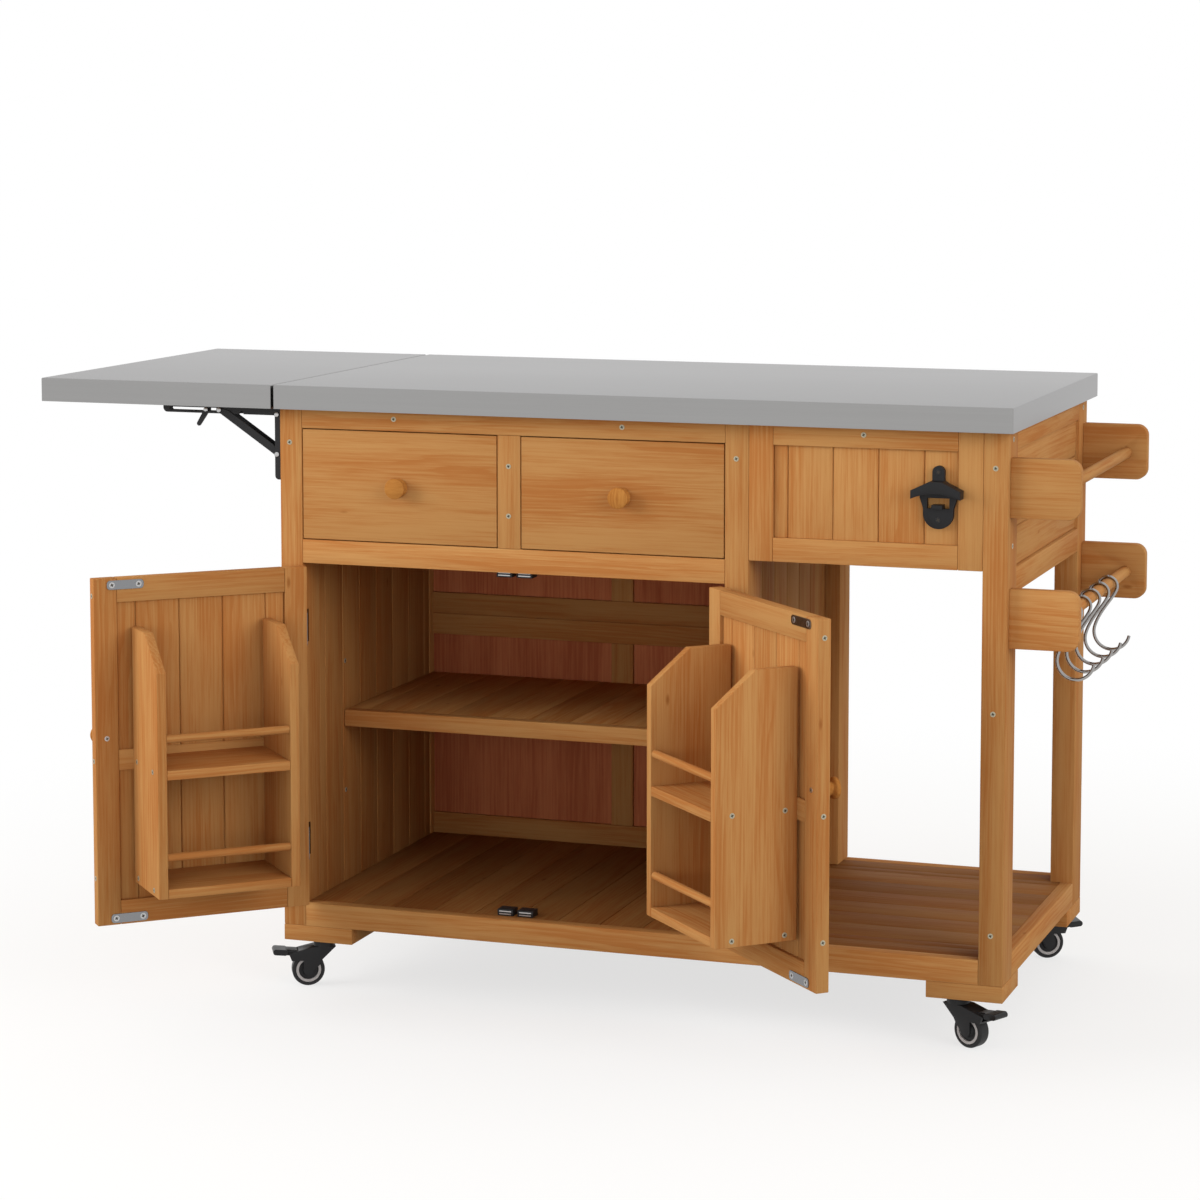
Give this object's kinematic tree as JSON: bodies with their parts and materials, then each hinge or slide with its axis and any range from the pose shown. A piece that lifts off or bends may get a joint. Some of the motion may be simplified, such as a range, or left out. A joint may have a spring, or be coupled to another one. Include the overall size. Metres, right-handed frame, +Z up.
{
  "type": "outdoor kitchen cart",
  "caption": "Wooden outdoor kitchen cart on casters with a steel worktop, folding side leaf, drawers, spice-rack doors, open bay and a towel rack with hooks.",
  "frame": {"origin": "on the floor under the middle of the main worktop", "axes": "+X along the worktop from the drop leaf towards the towel rack, +Y from the doors to the back, +Z up"},
  "size_m": [1.6137, 0.9027, 0.927],
  "materials": {
    "stainless": "finely brushed stainless sheet",
    "core_board": "plain board inside the steel skin",
    "fir": "honey stain under a satin oil",
    "plywood": "red-brown stained plywood",
    "black_steel": "black powder coat",
    "zinc_plate": "zinc plated",
    "catch_plastic": "black moulded",
    "cast_black": "black enamelled casting",
    "chrome_wire": "bright chrome",
    "caster_plastic": "black nylon",
    "caster_wheel": "black tread and hub with a pale grey ring"
  },
  "bodies": {
    "cabinet": {"worktop_skin": "stainless", "worktop_core": "core_board", "posts": "fir", "frame_rails": "fir", "wall_planks": "fir", "back_frame": "fir", "back_panels": "plywood", "floor_planks": "fir", "shelf": "fir", "drawer_runners": "fir", "apron_frames": "fir", "apron_planks": "fir", "hinge_leaves": "zinc_plate", "magnetic_catches": "catch_plastic", "rack_arms": "fir", "rack_bars": "fir", "bottle_opener": "cast_black", "bracket_wall_rails": "black_steel", "feet": "fir", "caster_stems": "zinc_plate"},
    "leaf": {"leaf_skin": "stainless", "leaf_core": "core_board", "leaf_rails": "black_steel"},
    "front_strut": {"front_bracket_strut": "black_steel"},
    "front_lever": {"front_release_lever": "black_steel"},
    "rear_strut": {"rear_bracket_strut": "black_steel"},
    "rear_lever": {"rear_release_lever": "black_steel"},
    "left_door": {"left_door_frame": "fir", "left_door_planks": "fir", "left_door_rack": "fir", "left_door_knob": "fir", "left_door_fittings": "zinc_plate"},
    "left_drawer": {"left_drawer_front": "fir", "left_drawer_box": "fir", "left_drawer_knob": "fir"},
    "right_door": {"right_door_frame": "fir", "right_door_planks": "fir", "right_door_rack": "fir", "right_door_knob": "fir", "right_door_fittings": "zinc_plate"},
    "right_drawer": {"right_drawer_front": "fir", "right_drawer_box": "fir", "right_drawer_knob": "fir"},
    "front_left_fork": {"front_left_caster_fork": "caster_plastic"},
    "front_left_wheel": {"front_left_caster_wheel": "caster_wheel"},
    "front_left_pedal": {"front_left_brake_pedal": "caster_plastic"},
    "front_right_fork": {"front_right_caster_fork": "caster_plastic"},
    "front_right_wheel": {"front_right_caster_wheel": "caster_wheel"},
    "front_right_pedal": {"front_right_brake_pedal": "caster_plastic"},
    "rear_left_fork": {"rear_left_caster_fork": "caster_plastic"},
    "rear_left_wheel": {"rear_left_caster_wheel": "caster_wheel"},
    "rear_left_pedal": {"rear_left_brake_pedal": "caster_plastic"},
    "rear_right_fork": {"rear_right_caster_fork": "caster_plastic"},
    "rear_right_wheel": {"rear_right_caster_wheel": "caster_wheel"},
    "rear_right_pedal": {"rear_right_brake_pedal": "caster_plastic"},
    "hook_1": {"s_hook_1": "chrome_wire"},
    "hook_2": {"s_hook_2": "chrome_wire"},
    "hook_3": {"s_hook_3": "chrome_wire"},
    "hook_4": {"s_hook_4": "chrome_wire"},
    "hook_5": {"s_hook_5": "chrome_wire"}
  },
  "joints": [
    {"name": "leaf_fold", "type": "hinge", "parent": "cabinet", "child": "leaf", "pos_m": [-0.571, 0, 0.88], "axis": [0, -1, 0], "range_deg": [0, 90]},
    {"name": "front_strut_swing", "type": "hinge", "parent": "cabinet", "child": "front_strut", "pos_m": [-0.571, -0.2735, 0.8195], "axis": [0, -1, 0], "range_deg": [0, 124]},
    {"name": "front_lever_swing", "type": "hinge", "parent": "leaf", "child": "front_lever", "pos_m": [-0.692, -0.2735, 0.883], "axis": [0, 1, 0], "range_deg": [0, 58]},
    {"name": "rear_strut_swing", "type": "hinge", "parent": "cabinet", "child": "rear_strut", "pos_m": [-0.571, 0.2695, 0.8195], "axis": [0, -1, 0], "range_deg": [0, 124]},
    {"name": "rear_lever_swing", "type": "hinge", "parent": "leaf", "child": "rear_lever", "pos_m": [-0.692, 0.2695, 0.883], "axis": [0, 1, 0], "range_deg": [0, 58]},
    {"name": "left_door_swing", "type": "hinge", "parent": "cabinet", "child": "left_door", "pos_m": [-0.5278, -0.2902, 0.392], "axis": [0, 0, 1], "range_deg": [-13, 137]},
    {"name": "right_door_swing", "type": "hinge", "parent": "cabinet", "child": "right_door", "pos_m": [0.1368, -0.2902, 0.392], "axis": [0, 0, -1], "range_deg": [-16, 134]},
    {"name": "left_drawer_slide", "type": "slide", "parent": "cabinet", "child": "left_drawer", "axis": [0, -1, 0], "range_m": [0, 0.32]},
    {"name": "right_drawer_slide", "type": "slide", "parent": "cabinet", "child": "right_drawer", "axis": [0, -1, 0], "range_m": [0, 0.32]},
    {"name": "front_left_swivel", "type": "hinge", "parent": "cabinet", "child": "front_left_fork", "pos_m": [-0.512, -0.257, 0.066], "axis": [0, 0, 1], "continuous": true},
    {"name": "front_left_wheel_spin", "type": "hinge", "parent": "front_left_fork", "child": "front_left_wheel", "pos_m": [-0.53387, -0.26912, 0.025], "axis": [0.4848, -0.8746, 0], "continuous": true},
    {"name": "front_left_brake_press", "type": "hinge", "parent": "front_left_fork", "child": "front_left_pedal", "pos_m": [-0.55136, -0.27882, 0.052], "axis": [0.4848, -0.8746, 0], "range_deg": [0, 12]},
    {"name": "front_right_swivel", "type": "hinge", "parent": "cabinet", "child": "front_right_fork", "pos_m": [0.483, -0.257, 0.066], "axis": [0, 0, 1], "continuous": true},
    {"name": "front_right_wheel_spin", "type": "hinge", "parent": "front_right_fork", "child": "front_right_wheel", "pos_m": [0.50547, -0.26796, 0.025], "axis": [0.4384, 0.8988, 0], "continuous": true},
    {"name": "front_right_brake_press", "type": "hinge", "parent": "front_right_fork", "child": "front_right_pedal", "pos_m": [0.52345, -0.27673, 0.052], "axis": [0.4384, 0.8988, 0], "range_deg": [0, 12]},
    {"name": "rear_left_swivel", "type": "hinge", "parent": "cabinet", "child": "rear_left_fork", "pos_m": [-0.512, 0.253, 0.066], "axis": [0, 0, 1], "continuous": true},
    {"name": "rear_left_wheel_spin", "type": "hinge", "parent": "rear_left_fork", "child": "rear_left_wheel", "pos_m": [-0.53447, 0.26396, 0.025], "axis": [-0.4384, -0.8988, 0], "continuous": true},
    {"name": "rear_left_brake_press", "type": "hinge", "parent": "rear_left_fork", "child": "rear_left_pedal", "pos_m": [-0.55245, 0.27273, 0.052], "axis": [-0.4384, -0.8988, 0], "range_deg": [0, 12]},
    {"name": "rear_right_swivel", "type": "hinge", "parent": "cabinet", "child": "rear_right_fork", "pos_m": [0.483, 0.253, 0.066], "axis": [0, 0, 1], "continuous": true},
    {"name": "rear_right_wheel_spin", "type": "hinge", "parent": "rear_right_fork", "child": "rear_right_wheel", "pos_m": [0.50507, 0.26474, 0.025], "axis": [-0.4695, 0.8829, 0], "continuous": true},
    {"name": "rear_right_brake_press", "type": "hinge", "parent": "rear_right_fork", "child": "rear_right_pedal", "pos_m": [0.52273, 0.27413, 0.052], "axis": [-0.4695, 0.8829, 0], "range_deg": [0, 12]},
    {"name": "hook_1_swing", "type": "hinge", "parent": "cabinet", "child": "hook_1", "pos_m": [0.622, -0.165, 0.6245], "axis": [0, 1, 0], "range_deg": [-25, 25]},
    {"name": "hook_2_swing", "type": "hinge", "parent": "cabinet", "child": "hook_2", "pos_m": [0.622, -0.095, 0.6245], "axis": [0, 1, 0], "range_deg": [-25, 25]},
    {"name": "hook_3_swing", "type": "hinge", "parent": "cabinet", "child": "hook_3", "pos_m": [0.622, -0.025, 0.6245], "axis": [0, 1, 0], "range_deg": [-25, 25]},
    {"name": "hook_4_swing", "type": "hinge", "parent": "cabinet", "child": "hook_4", "pos_m": [0.622, 0.045, 0.6245], "axis": [0, 1, 0], "range_deg": [-25, 25]},
    {"name": "hook_5_swing", "type": "hinge", "parent": "cabinet", "child": "hook_5", "pos_m": [0.622, 0.115, 0.6245], "axis": [0, 1, 0], "range_deg": [-25, 25]}
  ],
  "couplings": [
    {"joint": "front_strut_swing", "follows": "leaf_fold", "ratio": 1.3727},
    {"joint": "front_lever_swing", "follows": "leaf_fold", "ratio": 0.64},
    {"joint": "rear_strut_swing", "follows": "leaf_fold", "ratio": 1.3727},
    {"joint": "rear_lever_swing", "follows": "leaf_fold", "ratio": 0.64}
  ]
}
